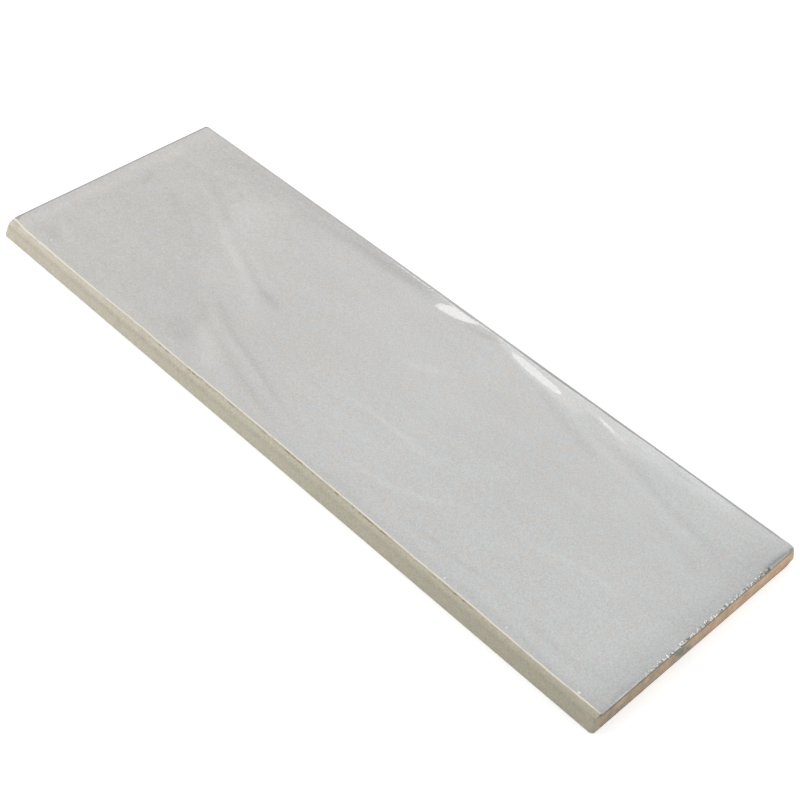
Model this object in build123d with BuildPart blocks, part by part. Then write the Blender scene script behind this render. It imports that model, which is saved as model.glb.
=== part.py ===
from build123d import *
import os

# Bullnose wall tile: one pressed, glazed and fired piece, lying on its back with its face up.
# X runs along the tile, Y across it with the bullnose on the -Y side, and Z rises from the back.
# All sizes are in millimetres.

# Body
tile_length = 300.0
tile_width = 100.0
tile_thickness = 8.0
foot_corner_radius = 1.0  # rounding of the four corners in plan at the back
face_corner_radius = 3.4  # the same at the face

# Bullnose along the -Y side
nose_radius = 3.0
nose_batter = 1.0  # how far the foot of the nose stands out beyond its shoulder

# Cushioned edges along the +Y side and across the -X end
cushion_width = 7.0  # strip of the face that falls away towards the edge
cushion_drop = 0.3  # fall of that strip
cushion_radius = 3.0  # rounding between the strip and the wall

# Plain end at +X
end_arris = 0.4

# Keyed back: shallow pockets between a rim and a lattice of lands
key_rim = 6.0
key_land = 3.0
key_depth = 0.7
key_corner = 2.0
key_draft = 30.0  # degrees that the pocket walls lean by
key_columns = 12
key_rows = 4

# Sizes that follow from the ones above
half_length = tile_length / 2
half_width = tile_width / 2
pocket_length = (tile_length - 2 * key_rim - (key_columns - 1) * key_land) / key_columns
pocket_width = (tile_width - 2 * key_rim - (key_rows - 1) * key_land) / key_rows

with BuildPart() as bullnose_tile:
    # Cross-section: battered bullnose on the left, cushioned edge on the right
    with BuildSketch(Plane.YZ) as cross_section:
        with BuildLine():
            Polyline(
                (half_width, 0),
                (-half_width, 0),
                (-half_width + nose_batter, tile_thickness),
                (half_width - cushion_width, tile_thickness),
            )
            TangentArc(
                (half_width - cushion_width, tile_thickness),
                (half_width, tile_thickness - cushion_drop),
                tangent=(1, 0),
            )
            Line((half_width, tile_thickness - cushion_drop), (half_width, 0))
        make_face()
        nose_shoulder = cross_section.vertices().group_by(Axis.Y)[-1].sort_by(Axis.X)[0]
        fillet(nose_shoulder, nose_radius)
        cushion_shoulder = cross_section.vertices().group_by(Axis.X)[-1].sort_by(Axis.Y)[-1]
        fillet(cushion_shoulder, cushion_radius)
    extrude(amount=half_length, both=True)

    # Long section: cushioned end on the left, plain end on the right
    with BuildSketch(Plane.XZ) as long_section:
        with BuildLine():
            Polyline(
                (-half_length + cushion_width, tile_thickness),
                (half_length, tile_thickness),
                (half_length, 0),
                (-half_length, 0),
                (-half_length, tile_thickness - cushion_drop),
            )
            TangentArc(
                (-half_length + cushion_width, tile_thickness),
                (-half_length, tile_thickness - cushion_drop),
                tangent=(-1, 0),
            )
        make_face()
        plain_shoulder = long_section.vertices().group_by(Axis.X)[-1].sort_by(Axis.Y)[-1]
        fillet(plain_shoulder, end_arris)
        cushion_shoulder = long_section.vertices().group_by(Axis.X)[0].sort_by(Axis.Y)[-1]
        fillet(cushion_shoulder, cushion_radius)
    extrude(amount=tile_width, both=True, mode=Mode.INTERSECT)

    # Plan outline, its corners rounder at the face than at the back
    with BuildSketch(Plane.XY):
        RectangleRounded(tile_length, tile_width, foot_corner_radius)
    with BuildSketch(Plane.XY.offset(tile_thickness)):
        RectangleRounded(tile_length, tile_width, face_corner_radius)
    loft(mode=Mode.INTERSECT)

    # Keyed back, pressed up into the underside
    with BuildSketch(Plane.XY):
        with GridLocations(pocket_length + key_land, pocket_width + key_land, key_columns, key_rows):
            RectangleRounded(pocket_length, pocket_width, key_corner)
    extrude(amount=key_depth, taper=key_draft, mode=Mode.SUBTRACT)

bullnose_tile.part.label = "bullnose_tile"
os.makedirs("parts", exist_ok=True)
export_step(bullnose_tile.part, "parts/bullnose_tile.step")
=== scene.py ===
import logging
import math
from dataclasses import dataclass
from enum import Enum
from typing import Union

import bmesh
import bpy
import numpy as np
from mathutils import Matrix, Vector, noise

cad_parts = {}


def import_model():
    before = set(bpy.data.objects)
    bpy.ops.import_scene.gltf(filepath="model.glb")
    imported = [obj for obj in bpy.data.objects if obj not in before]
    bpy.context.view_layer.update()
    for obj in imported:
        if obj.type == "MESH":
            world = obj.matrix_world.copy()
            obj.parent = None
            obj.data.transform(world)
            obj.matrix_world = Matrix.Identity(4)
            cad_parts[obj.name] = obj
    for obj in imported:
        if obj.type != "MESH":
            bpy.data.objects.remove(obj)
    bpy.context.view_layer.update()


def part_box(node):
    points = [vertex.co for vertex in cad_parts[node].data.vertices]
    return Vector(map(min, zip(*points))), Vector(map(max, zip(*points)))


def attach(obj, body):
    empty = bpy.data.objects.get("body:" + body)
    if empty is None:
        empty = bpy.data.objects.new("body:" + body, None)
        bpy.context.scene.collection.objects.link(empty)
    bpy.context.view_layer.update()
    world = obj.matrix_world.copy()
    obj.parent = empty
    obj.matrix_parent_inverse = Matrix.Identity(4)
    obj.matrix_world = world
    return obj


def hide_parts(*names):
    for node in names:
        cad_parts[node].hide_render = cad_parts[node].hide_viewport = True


LOG = logging.getLogger("bullnose_tile")
NODE = "bullnose_tile"
MM = 0.001
IMAGE_SIDE_PX = 800
SENSOR_MM = 36.0
WHITE = (1.0, 1.0, 1.0, 1.0)
TINY = 1e-9

Colour = tuple[float, float, float, float]
Pair = tuple[float, float]
Feed = Union["Signal", float, tuple[float, ...]]


class Finish(Enum):
    """Finishes of the tile, numbered in the order of its material slots."""

    FACE = 0
    NOSE = 1
    WALL = 2
    BACK = 3


class Interp(Enum):
    """Ways to pass from one value to another."""

    STRAIGHT = "LINEAR"
    SOFT = "SMOOTHSTEP"


class Sum(Enum):
    """Sums that a shader node works out."""

    PLUS = "ADD"
    MINUS = "SUBTRACT"
    TIMES = "MULTIPLY"
    OVER = "DIVIDE"
    UNSIGNED = "ABSOLUTE"
    LARGER = "MAXIMUM"


class Kind(Enum):
    """Kinds of socket on a shader node group."""

    NUMBER = "NodeSocketFloat"
    PLACE = "NodeSocketVector"
    COLOUR = "NodeSocketColor"


def srgb(red: int, green: int, blue: int) -> Colour:
    """Turns an 8-bit screen colour into a linear one.

    Args:
        red: red, 0 to 255.
        green: green, 0 to 255.
        blue: blue, 0 to 255.

    Returns:
        The linear colour, with full alpha.
    """

    def linear(level: int) -> float:
        """One channel, made linear."""
        share = level / 255
        return share / 12.92 if share <= 0.04045 else ((share + 0.055) / 1.055) ** 2.4

    return (linear(red), linear(green), linear(blue), 1.0)


def ease(values: np.ndarray, low: float, high: float) -> np.ndarray:
    """Smooth step from 0 at low to 1 at high, where low may be the larger of the two.

    Args:
        values: numbers to map.
        low: value that gives 0.
        high: value that gives 1.

    Returns:
        The mapped numbers, in the same shape.
    """
    share = np.clip((values - low) / (high - low), 0.0, 1.0)
    return share * share * (3.0 - 2.0 * share)


def bell(offsets: np.ndarray, width: float) -> np.ndarray:
    """Bell curve, 1 in the middle and about a third at its width.

    Args:
        offsets: distances from the middle.
        width: width of the curve.

    Returns:
        Numbers from 0 to 1, in the same shape.
    """
    return np.exp(-(offsets / width) ** 2)


def clouds(across: np.ndarray, up: np.ndarray, seed: float) -> np.ndarray:
    """Smooth random numbers over an area.

    Args:
        across: first coordinate of each point, in swings.
        up: second coordinate of each point, in swings.
        seed: which layer of numbers to draw.

    Returns:
        Numbers of about -1 to 1, in the same shape.
    """
    pairs = zip(across.ravel(), up.ravel())
    return np.array([noise.noise(Vector((a, b, seed))) for a, b in pairs]).reshape(across.shape)


def drift(places: np.ndarray, size: float, seed: float) -> np.ndarray:
    """Smooth random numbers along a row of places.

    Args:
        places: places, in millimetres.
        size: size of one swing, in millimetres.
        seed: which row of numbers to draw.

    Returns:
        Numbers of about -1 to 1, in the same shape.
    """
    return clouds(places / size, np.full_like(places, seed), 0.5)


def heading(azimuth: float, elevation: float) -> Vector:
    """Direction from the tile.

    Args:
        azimuth: angle round the tile from its nose side, in degrees.
        elevation: angle above the floor, in degrees.

    Returns:
        The direction, one unit long.
    """
    turn, rise = math.radians(azimuth), math.radians(elevation)
    return Vector((math.sin(turn) * math.cos(rise), -math.cos(turn) * math.cos(rise), math.sin(rise)))


@dataclass(frozen=True)
class CornerRounding:
    """Rounding of one corner in plan, as radii in millimetres at the back and at the face."""

    foot: float
    face: float
    bow: float = 1.4

    def radius(self, share: np.ndarray) -> np.ndarray:
        """Radius at shares of the thickness, from 0 at the back to 1 at the face."""
        return self.foot + (self.face - self.foot) * share ** self.bow


@dataclass(frozen=True)
class TileSizes:
    """Real sizes of the tile, in millimetres. The outer three come from the frame."""

    length: float
    width: float
    thickness: float
    nose_plain_corner: CornerRounding = CornerRounding(1.3, 1.6)
    nose_cushion_corner: CornerRounding = CornerRounding(0.6, 5.2)
    joint_plain_corner: CornerRounding = CornerRounding(0.8, 4.2)
    joint_cushion_corner: CornerRounding = CornerRounding(0.8, 1.1)
    nose_radius: float = 3.0
    nose_batter: float = 1.0
    cushion_width: float = 7.0
    cushion_drop: float = 0.3
    cushion_radius: float = 3.0
    end_arris: float = 0.4
    foot_arris: float = 0.25
    key_rim: float = 6.0
    key_land: float = 3.0
    key_depth: float = 0.7
    key_corner: float = 2.0
    key_draft_deg: float = 30.0
    key_columns: int = 12
    key_rows: int = 4

    @classmethod
    def from_frame(cls, node: str) -> "TileSizes":
        """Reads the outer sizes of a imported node.

        Args:
            node: name of the node.

        Returns:
            The tile's sizes.
        """
        low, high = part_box(node)
        length, width, thickness = ((high - low) / MM)[:]
        return cls(length=length, width=width, thickness=thickness)

    @property
    def pocket_length(self) -> float:
        """Length of one pocket in the back."""
        return (self.length - 2 * self.key_rim - (self.key_columns - 1) * self.key_land) / self.key_columns

    @property
    def pocket_width(self) -> float:
        """Width of one pocket in the back."""
        return (self.width - 2 * self.key_rim - (self.key_rows - 1) * self.key_land) / self.key_rows

    @property
    def pocket_slope(self) -> float:
        """How far the drafted walls of a pocket reach in."""
        return self.key_depth * math.tan(math.radians(self.key_draft_deg))


@dataclass(frozen=True)
class EdgeRings:
    """How many mesh rings each stretch of an edge gets, and how wide the ringed strip is."""

    foot: int = 2
    wall: int = 12
    bend: int = 12
    strip: int = 14
    zone: float = 9.0

    @property
    def count(self) -> int:
        """Rings from the foot to the plain face."""
        return self.foot + self.wall + self.bend + self.strip


@dataclass(frozen=True)
class EdgeSections:
    """Sections of the tile's edges, as rows of (inset from the outer wall, height above the back)."""

    sizes: TileSizes
    rings: EdgeRings
    plain_crowding: float = 1.5

    def foot(self) -> np.ndarray:
        """Small rounding between the back and a wall.

        Returns:
            Rows of inset and height, one for each ring.
        """
        angles = np.linspace(math.pi / 2, 0.0, self.rings.foot, endpoint=False)
        radius = self.sizes.foot_arris
        return np.stack([radius - radius * np.cos(angles), radius - radius * np.sin(angles)], 1)

    def assemble(self, lean: float, centre: Pair, radius: float, top_angle: float,
                 strip: np.ndarray) -> np.ndarray:
        """Joins a foot, a straight wall, a bend and a strip of face into one section.

        Args:
            lean: angle by which the wall leans inwards.
            centre: centre of the bend, as inset and height.
            radius: radius of the bend.
            top_angle: angle at which the bend meets the strip.
            strip: rows of inset and height after the bend.

        Returns:
            Rows of inset and height, one for each ring and one more.
        """
        angles = np.linspace(lean, top_angle, self.rings.bend, endpoint=False)
        bend = np.stack([centre[0] - radius * np.cos(angles), centre[1] + radius * np.sin(angles)], 1)
        start = np.array([0.0, self.sizes.foot_arris])
        shares = np.linspace(0.0, 1.0, self.rings.wall, endpoint=False)[:, None]
        wall = start + shares * (bend[0] - start)
        return np.concatenate([self.foot(), wall, bend, strip])

    def level(self, insets: np.ndarray) -> np.ndarray:
        """Strip of level face at some insets."""
        return np.stack([insets, np.full_like(insets, self.sizes.thickness)], 1)

    def nose(self) -> np.ndarray:
        """Section of the bullnose.

        Returns:
            Rows of inset and height.
        """
        sizes = self.sizes
        lean = math.atan2(sizes.nose_batter, sizes.thickness)
        reach = sizes.nose_radius / math.tan((math.pi / 2 + lean) / 2)
        centre = (sizes.nose_batter + reach, sizes.thickness - sizes.nose_radius)
        strip = self.level(np.linspace(centre[0], self.rings.zone, self.rings.strip + 1))
        return self.assemble(lean, centre, sizes.nose_radius, math.pi / 2, strip)

    def cushion(self) -> np.ndarray:
        """Section of a cushioned edge.

        Returns:
            Rows of inset and height.
        """
        sizes = self.sizes
        width, drop, radius = sizes.cushion_width, sizes.cushion_drop, sizes.cushion_radius
        sweep = (width ** 2 + drop ** 2) / (2 * drop)
        rise = math.sqrt((sweep - radius) ** 2 - (width - radius) ** 2)
        centre = (radius, sizes.thickness - sweep + rise)
        top_angle = math.atan2(rise, width - radius)
        first = radius - radius * math.cos(top_angle)
        insets = np.linspace(first, self.rings.zone, self.rings.strip + 1)
        heights = sizes.thickness - sweep + np.sqrt(sweep ** 2 - np.maximum(width - insets, 0.0) ** 2)
        return self.assemble(0.0, centre, radius, top_angle, np.stack([insets, heights], 1))

    def plain(self) -> np.ndarray:
        """Section of the plain end, with its rings closest together at the arris.

        Returns:
            Rows of inset and height.
        """
        arris = self.sizes.end_arris
        shares = np.linspace(0.0, 1.0, self.rings.strip + 1) ** self.plain_crowding
        strip = self.level(arris + shares * (self.rings.zone - arris))
        return self.assemble(0.0, (arris, self.sizes.thickness - arris), arris, math.pi / 2, strip)


@dataclass(frozen=True)
class GlazeStreak:
    """A long run of thicker or thinner glaze on the face, sizes in millimetres. Along the cushioned long
    edge, some runs are painted reflection instead.

    Its tone is the share by which it lightens the glaze, and its height is how far it stands up. Its ends
    fade over shares of its length.
    """

    start: Pair
    end: Pair
    bow: float
    width: float
    tone: float
    height: float = 0.0
    start_fade: Pair = (-0.12, 0.25)
    end_fade: Pair = (1.12, 0.75)

    def weights(self, x: np.ndarray, y: np.ndarray) -> np.ndarray:
        """How much of this streak lies at each point.

        Args:
            x: places along the tile.
            y: places across the tile.

        Returns:
            Shares from 0 to 1, in the same shape.
        """
        run = np.subtract(self.end, self.start)
        span = float(np.hypot(*run))
        along_x, along_y = run / span
        share = ((x - self.start[0]) * along_x + (y - self.start[1]) * along_y) / span
        aside = (y - self.start[1]) * along_x - (x - self.start[0]) * along_y
        offset = aside - self.bow * 4.0 * share * (1.0 - share)
        return ease(share, *self.start_fade) * ease(share, *self.end_fade) * bell(offset, self.width)


@dataclass(frozen=True)
class EdgeDip:
    """A hollow in the cushioned long edge, where the glaze falls away more steeply, sizes in millimetres."""

    place: float
    reach: float
    inset: float
    skew: float
    fall: float
    run: float
    blunt: float = 2.6
    easing: float = 0.75

    def descent(self, share: np.ndarray) -> np.ndarray:
        """How far down an even slope with soft ends each point lies.

        Args:
            share: places across the slope, from -1 at its foot to 1 at its head.

        Returns:
            Shares of the fall, from 1 at the foot to 0 at the head.
        """
        soft = self.easing
        place = np.clip(share, -1.0, 1.0) + 1.0
        low = np.clip(place, 0.0, soft)
        even = np.clip(place - soft, 0.0, 2.0 - 2.0 * soft)
        high = np.clip(place - 2.0 + soft, 0.0, soft)
        risen = low ** 2 / (2.0 * soft) + even + high - high ** 2 / (2.0 * soft)
        return 1.0 - risen / (2.0 - soft)

    def heights(self, x: np.ndarray, inset: np.ndarray) -> np.ndarray:
        """Height that this dip takes away at each point.

        Args:
            x: places along the tile.
            inset: distances in from the edge.

        Returns:
            Heights below zero, in the same shape.
        """
        middle = self.inset + self.skew * (x - self.place)
        ends = np.exp(-np.abs((x - self.place) / self.reach) ** self.blunt)
        return -self.fall * ends * self.descent((inset - middle) / self.run)


FAR_LEFT_STREAKS = (
    GlazeStreak((-121.0, 23.0), (-103.0, 16.0), 0.0, 1.6, 0.055, 0.02),
    GlazeStreak((-98.0, 12.0), (-56.0, -4.0), -1.0, 2.2, 0.09, 0.04),
    GlazeStreak((-77.0, 8.5), (-63.0, 5.5), 0.0, 1.2, 0.05),
    GlazeStreak((-77.0, 6.0), (-44.0, -4.0), -1.0, 1.7, -0.06, -0.02),
    GlazeStreak((-55.0, -1.0), (-45.0, -5.0), 0.0, 3.2, -0.06),
    GlazeStreak((-60.0, -7.0), (-42.0, -16.0), 0.0, 3.5, 0.05, 0.03),
    GlazeStreak((-124.0, 10.0), (-104.0, 2.0), 0.0, 2.5, -0.05),
    GlazeStreak((-104.0, 18.5), (-94.0, 16.0), 0.0, 1.6, -0.07),
    GlazeStreak((-113.0, 32.5), (-108.0, 29.0), 0.0, 1.5, -0.07),
    GlazeStreak((-135.0, -39.5), (-127.0, -41.0), 0.0, 1.6, -0.08),
    GlazeStreak((-140.0, -31.0), (-118.0, -39.0), 0.0, 1.6, 0.04),
    GlazeStreak((-142.6, 60.0), (-142.6, -60.0), 0.0, 3.0, 0.075),
    # painted reflection: these two runs darken the strip along the cushioned long edge, where it reflects a
    # darker surround
    GlazeStreak((-130.0, 41.3), (-60.0, 41.8), 0.0, 5.2, -0.105),
    GlazeStreak((-66.0, 43.2), (-12.0, 45.0), 0.0, 3.0, -0.17),
    GlazeStreak((-80.0, 45.0), (-15.0, -45.0), 0.0, 30.0, -0.025),
    GlazeStreak((-118.0, 34.0), (-103.0, 16.0), 0.0, 8.0, -0.045),
    GlazeStreak((-97.0, 30.0), (-84.0, 14.0), 0.0, 6.0, 0.02),
    GlazeStreak((-112.0, 38.0), (-92.0, 33.0), 0.0, 3.0, -0.035),
    GlazeStreak((-106.0, 29.5), (-101.0, 25.0), 0.8, 1.0, -0.07),
    GlazeStreak((-139.0, 11.0), (-134.0, 2.0), 1.5, 1.2, -0.06),
    GlazeStreak((-134.0, 27.0), (-130.5, 24.0), 0.0, 1.2, -0.05),
    GlazeStreak((-92.0, -44.8), (-50.0, -44.6), 0.0, 1.6, 0.05),
)
NEAR_STREAKS = (
    GlazeStreak((-68.0, -15.0), (4.0, -36.5), -2.5, 1.5, -0.09, -0.03),
    GlazeStreak((-52.0, -25.0), (-5.0, -36.0), -1.0, 1.4, 0.04, 0.02),
    GlazeStreak((-54.0, -28.5), (6.0, -42.0), -2.0, 1.5, -0.07, -0.02),
    GlazeStreak((-65.0, -22.0), (-56.0, -31.0), 1.0, 2.2, -0.07),
    GlazeStreak((-56.0, -31.0), (-36.0, -42.0), 0.0, 3.2, 0.06, 0.02),
    GlazeStreak((-66.0, -33.0), (-53.0, -41.0), 0.0, 4.2, -0.08),
    GlazeStreak((-72.0, -12.0), (-8.0, -36.0), 0.0, 8.0, -0.03),
    GlazeStreak((4.0, -27.0), (38.0, -27.0), 0.0, 6.0, 0.03),
    GlazeStreak((58.0, -38.5), (102.0, -37.3), 0.8, 1.2, -0.065),
    GlazeStreak((113.0, -39.0), (142.0, -38.0), 0.0, 1.4, -0.05),
)
RIGHT_STREAKS = (
    GlazeStreak((2.0, 10.0), (23.0, 21.0), 0.0, 1.9, 0.06),
    GlazeStreak((-4.0, -16.5), (52.0, -14.5), 2.0, 1.0, 0.055),
    GlazeStreak((26.0, -36.0), (66.0, -21.0), -3.0, 1.2, 0.06),
    GlazeStreak((95.0, -15.0), (127.0, -9.5), 2.0, 1.0, 0.055),
    GlazeStreak((45.0, 37.5), (84.0, 28.0), 0.0, 1.8, -0.06, -0.02),
    GlazeStreak((54.0, 39.0), (94.0, 30.0), 0.0, 1.6, 0.05, 0.02),
    GlazeStreak((84.0, 36.5), (138.0, 25.0), 0.0, 2.0, -0.07, -0.02),
    GlazeStreak((98.0, 29.5), (128.0, 23.5), 0.0, 1.2, 0.03),
    GlazeStreak((108.0, 22.0), (138.0, 16.0), 0.0, 2.2, -0.05),
    GlazeStreak((70.0, 26.0), (76.0, -22.0), 0.0, 9.0, -0.02),
    GlazeStreak((26.0, 22.0), (36.0, -22.0), 0.0, 9.0, 0.02),
    # painted shade: a darker patch beside the first leaf highlight on the cushioned edge
    GlazeStreak((5.5, 42.8), (20.0, 45.2), 0.0, 1.1, -0.11),
    GlazeStreak((28.0, 44.0), (28.0, 22.0), 0.0, 8.0, 0.025),
    # painted reflection: these two runs lighten the cushioned long edge as a bright sheen
    GlazeStreak((80.0, 43.2), (133.0, 43.6), 0.0, 2.6, 0.115),
    GlazeStreak((66.0, 39.5), (106.0, 41.0), 0.0, 2.2, 0.04),
    GlazeStreak((93.0, 45.2), (112.0, 44.6), 0.3, 0.7, -0.10),
    GlazeStreak((141.0, 44.0), (141.0, 18.0), 0.0, 11.0, -0.06),
    GlazeStreak((140.0, 30.0), (140.0, -12.0), 0.0, 15.0, -0.035),
    GlazeStreak((144.0, -18.0), (144.0, -60.0), 0.0, 8.0, -0.03),
    GlazeStreak((150.0, -60.0), (150.0, 60.0), 0.0, 7.0, -0.13),
    GlazeStreak((149.8, -70.0), (149.8, 70.0), 0.0, 1.1, -0.12),
    GlazeStreak((149.6, 24.0), (149.6, 56.0), 0.0, 1.2, -0.07),
    GlazeStreak((150.0, 26.0), (150.0, 58.0), 0.0, 0.6, -0.18),
    GlazeStreak((-30.0, -45.2), (160.0, -45.6), 0.0, 1.7, -0.06),
    GlazeStreak((96.0, -45.0), (156.0, -45.4), 0.0, 1.6, -0.03),
)


@dataclass(frozen=True)
class GlazeRelief:
    """Unevenness of the glazed face, sizes in millimetres.

    Each fade is a pair of distances, where the relief is nothing and where it is full.
    """

    broad_size: float = 55.0
    broad_height: float = 0.10
    broad_seed: float = 3.7
    short_size: float = 22.0
    short_height: float = 0.03
    short_seed: float = 8.1
    flow_deg: float = -17.0
    flow_stretch: float = 2.2
    warp_size: float = 14.0
    warp_reach: float = 1.6
    warp_seeds: Pair = (1.1, 6.4)
    joint_fade: Pair = (9.0, 30.0)
    dip_fade: Pair = (0.2, 2.4)
    wall_fade: Pair = (3.0, 1.2)
    seam_fade: Pair = (0.2, 3.0)
    end_fade: Pair = (0.3, 4.0)
    streaks: tuple[GlazeStreak, ...] = FAR_LEFT_STREAKS + NEAR_STREAKS + RIGHT_STREAKS
    dips: tuple[EdgeDip, ...] = (
        EdgeDip(-3.2, 9.7, 6.5, -0.14, 0.41, 3.8),
        EdgeDip(41.2, 16.6, 6.6, 0.09, 0.46, 3.0),
        EdgeDip(74.0, 7.5, 6.6, 0.19, 0.22, 1.35),
    )

    def undulation(self, x: np.ndarray, y: np.ndarray) -> np.ndarray:
        """Slow waves of the whole face.

        Args:
            x: places along the tile.
            y: places across the tile.

        Returns:
            Heights, in the same shape.
        """
        turn = math.radians(self.flow_deg)
        along = (x * math.cos(turn) + y * math.sin(turn)) / self.flow_stretch
        aside = y * math.cos(turn) - x * math.sin(turn)
        broad = clouds(along / self.broad_size, aside / self.broad_size, self.broad_seed)
        short = clouds(along / self.short_size, aside / self.short_size, self.short_seed)
        return self.broad_height * broad + self.short_height * short

    def hollows(self, x: np.ndarray, far_inset: np.ndarray) -> np.ndarray:
        """Heights of the dips, by places along the tile and insets from the cushioned long edge."""
        total = sum(dip.heights(x, far_inset) for dip in self.dips)
        return total * ease(far_inset, *self.dip_fade)

    def streaked(self, x: np.ndarray, y: np.ndarray) -> tuple[np.ndarray, np.ndarray]:
        """Heights and tones of all the streaks.

        Args:
            x: places along the tile.
            y: places across the tile.

        Returns:
            Heights and tones, in the same shape.
        """
        swings = (x / self.warp_size, y / self.warp_size)
        shift_x, shift_y = (self.warp_reach * clouds(*swings, seed) for seed in self.warp_seeds)
        heights = np.zeros_like(x)
        tones = np.zeros_like(x)
        for streak in self.streaks:
            weights = streak.weights(x + shift_x, y + shift_y)
            heights += streak.height * weights
            tones += streak.tone * weights
        return heights, tones

    def lift(self, sizes: TileSizes, points: np.ndarray,
             seam_distance: np.ndarray) -> tuple[np.ndarray, np.ndarray]:
        """The whole relief, which fades out towards the walls and the nose.

        Args:
            sizes: the tile's sizes.
            points: points in an array whose last axis is x, y and z.
            seam_distance: distances in from the seam along the nose.

        Returns:
            Heights and tones, one for each point.
        """
        x, y, z = np.moveaxis(points, -1, 0)
        far_inset = sizes.width / 2 - y
        heights, tones = self.streaked(x, y)
        heights += self.undulation(x, y) * ease(far_inset, *self.joint_fade)
        heights += self.hollows(x, far_inset)
        heights *= ease(sizes.thickness - z, *self.wall_fade) * ease(seam_distance, *self.seam_fade)
        return heights * ease(sizes.length / 2 - x, *self.end_fade), tones


@dataclass(frozen=True)
class SeamStain:
    """A stretch of the seam with a dark line below it, places in millimetres along the tile."""

    start: float
    end: float
    strength: float
    fade: float = 6.0

    def weights(self, x: np.ndarray) -> np.ndarray:
        """How dark this stretch is at each place, from 0 to 1."""
        begun = ease(x, self.start, self.start + self.fade)
        return self.strength * begun * ease(x, self.end, self.end - self.fade)


@dataclass(frozen=True)
class SeamStep:
    """A stretch over which the seam moves in across the face, or out where negative, in millimetres."""

    start: float
    end: float
    shift: float


@dataclass(frozen=True)
class NoseSeam:
    """Line along the shoulder of the bullnose where the grey glaze stops, sizes in millimetres."""

    inset: float = 3.0
    steps: tuple[SeamStep, ...] = (
        SeamStep(-139.0, -148.0, 0.9),
        SeamStep(10.0, 40.0, -0.15),
        SeamStep(98.0, 116.0, -0.25),
        SeamStep(126.0, 150.0, 0.2),
    )
    sag: float = 0.3
    sag_place: float = -114.0
    sag_reach: float = 18.0
    wander: float = 0.22
    wander_size: float = 24.0
    wander_seed: float = 1.3
    shiver: float = 0.10
    shiver_size: float = 3.4
    shiver_seed: float = 5.9
    step: float = 0.06
    step_edge: Pair = (0.15, -0.35)
    step_foot: Pair = (-2.4, -0.8)
    bead: float = 0.04
    bead_place: float = 0.55
    bead_width: float = 0.45
    shoulder_fade: Pair = (4.0, 2.0)
    stains: tuple[SeamStain, ...] = (
        SeamStain(-62.0, -30.0, 0.9),
        SeamStain(-34.0, 20.0, 0.5),
        SeamStain(8.0, 64.0, 0.9),
        SeamStain(78.0, 100.0, 1.0),
    )

    def distance(self, x: np.ndarray, nose_inset: np.ndarray) -> np.ndarray:
        """Distance in from the seam, negative on the nose.

        Args:
            x: places along the tile.
            nose_inset: distances in from the foot of the nose.

        Returns:
            Distances, in the same shape.
        """
        line = self.inset - self.sag * bell(x - self.sag_place, self.sag_reach)
        for step in self.steps:
            line += step.shift * ease(x, step.start, step.end)
        line += self.wander * drift(x, self.wander_size, self.wander_seed)
        line += self.shiver * drift(x, self.shiver_size, self.shiver_seed)
        return nose_inset - line

    def stain(self, x: np.ndarray) -> np.ndarray:
        """How dark the line below the seam is at each place."""
        return np.clip(sum(stain.weights(x) for stain in self.stains), 0.0, 1.0)

    def heights(self, distance: np.ndarray, drop: np.ndarray) -> np.ndarray:
        """Step and bead of the glaze at the seam.

        Args:
            distance: distances in from the seam.
            drop: distances below the face.

        Returns:
            Heights, in the same shape.
        """
        below = -self.step * ease(distance, *self.step_edge) * ease(distance, *self.step_foot)
        ridge = self.bead * bell(distance - self.bead_place, self.bead_width)
        return (below + ridge) * ease(drop, *self.shoulder_fade)


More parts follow.
